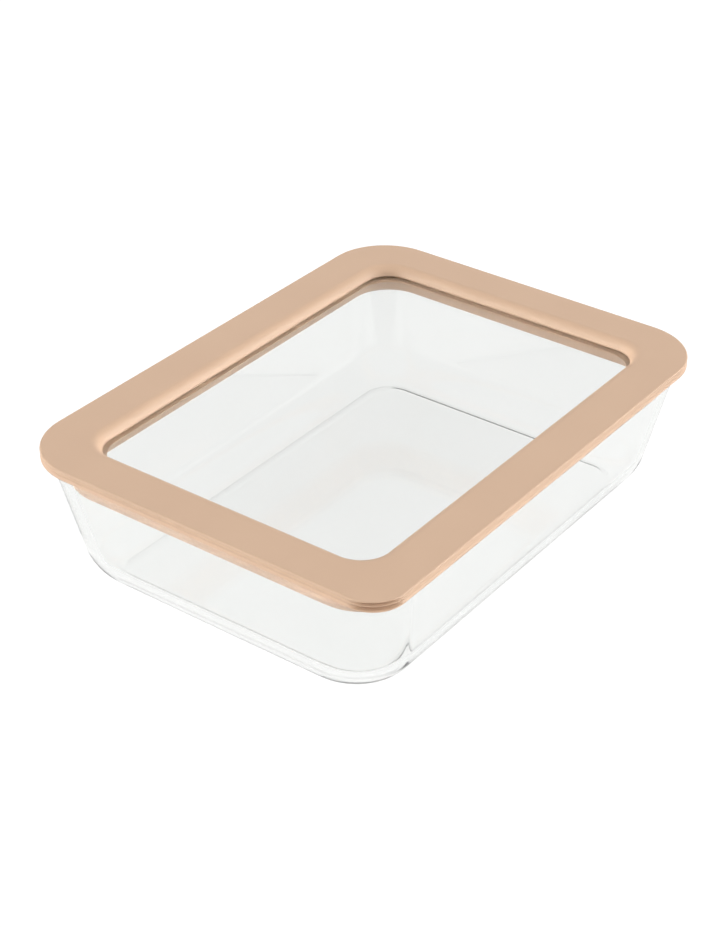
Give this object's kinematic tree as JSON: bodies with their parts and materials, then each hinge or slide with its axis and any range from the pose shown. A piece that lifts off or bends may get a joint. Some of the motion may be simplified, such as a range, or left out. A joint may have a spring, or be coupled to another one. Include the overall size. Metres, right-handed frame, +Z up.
{
  "type": "glass storage container",
  "caption": "Rectangular clear glass food dish with a flat glass lid held in a soft silicone rim that plugs into the dish.",
  "frame": {"origin": "centre of the dish's base, on the surface it stands on", "axes": "+Z up, +X along the long side, +Y along the short side; the lid's squarer lifting corner is at -X -Y"},
  "size_m": [0.23, 0.17, 0.06],
  "materials": {
    "dish_glass": "clear pressed tempered glass, smooth, faint green-grey at the edges",
    "pane_glass": "clear flat tempered glass, polished",
    "silicone": "matt moulded silicone, peach beige"
  },
  "bodies": {
    "dish": {"glass_dish": "dish_glass"},
    "lid": {"lid_glass": "pane_glass", "lid_rim": "silicone"}
  },
  "joints": [
    {"name": "lid_lift", "type": "slide", "parent": "dish", "child": "lid", "axis": [0, 0, 1], "range_m": [0, 0.08]}
  ]
}
